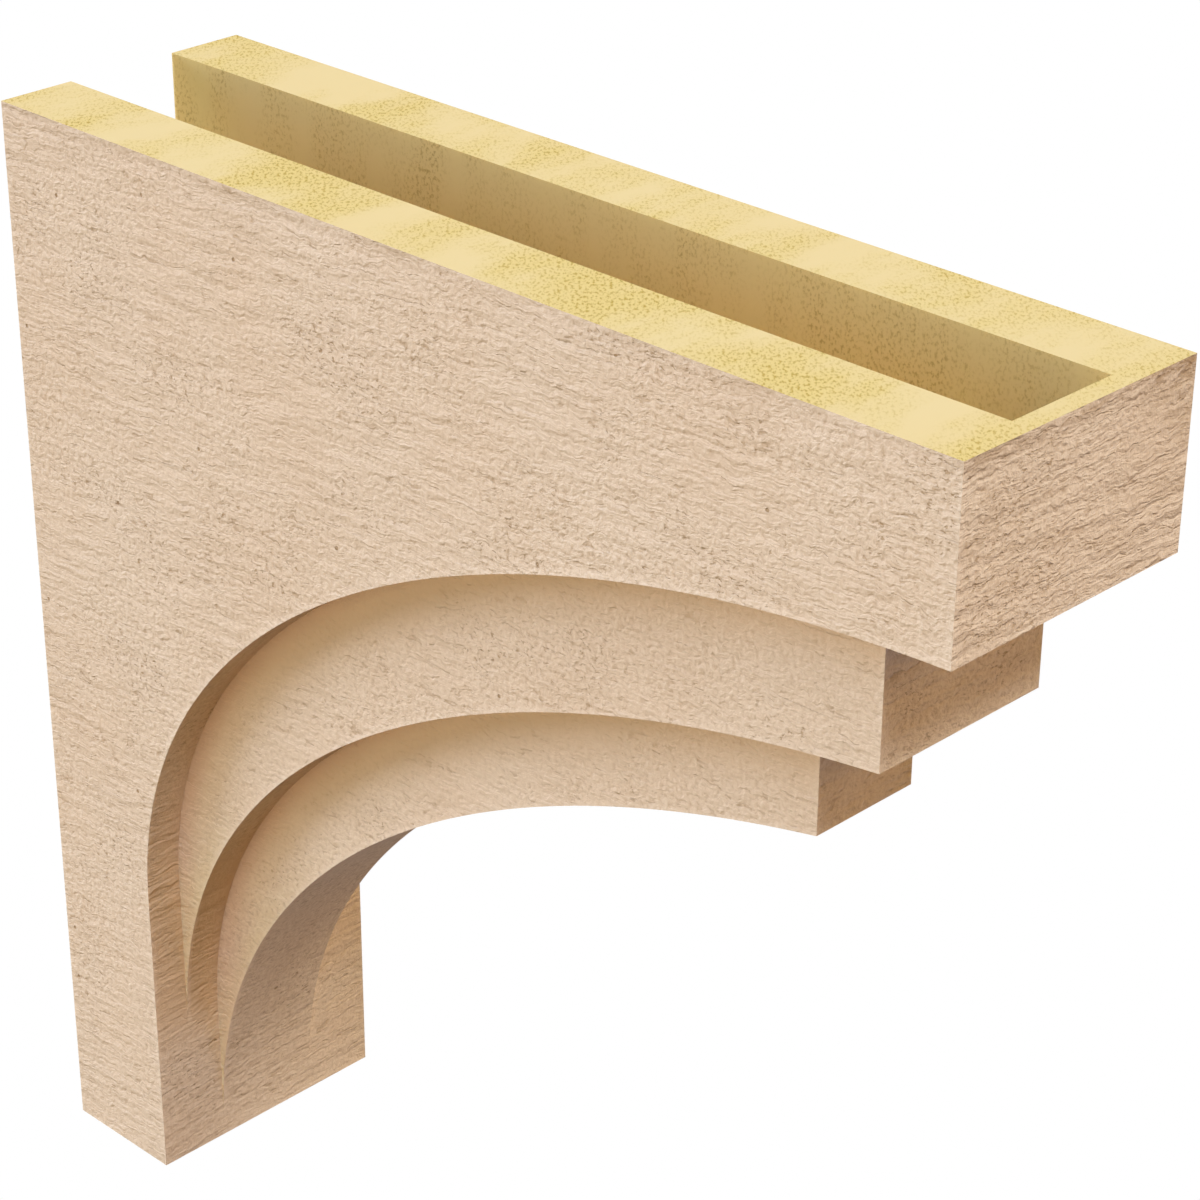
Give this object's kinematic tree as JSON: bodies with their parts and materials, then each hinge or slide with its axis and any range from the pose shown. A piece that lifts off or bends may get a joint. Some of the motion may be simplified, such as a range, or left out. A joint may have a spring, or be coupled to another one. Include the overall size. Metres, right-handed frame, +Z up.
{
  "type": "corbel",
  "caption": "Tiered arch corbel in rigid foam with a rough-sawn wood face, hollow at the top and back, for carrying a shelf, beam or mantel look on a wall.",
  "frame": {"origin": "on the back face that lies against the wall, midway across, at the middle height of the closed foot", "axes": "+Y into the wall, so the corbel projects along -Y; +X across the width; +Z up"},
  "size_m": [0.1524, 0.6096, 0.6096],
  "materials": {
    "tan_primed_skin": "matte tan primer over a moulded rough-sawn wood grain; the top rim, the back and the channel are bare pale yellow foam"
  },
  "bodies": {
    "root": {"corbel": "tan_primed_skin"}
  },
  "joints": []
}
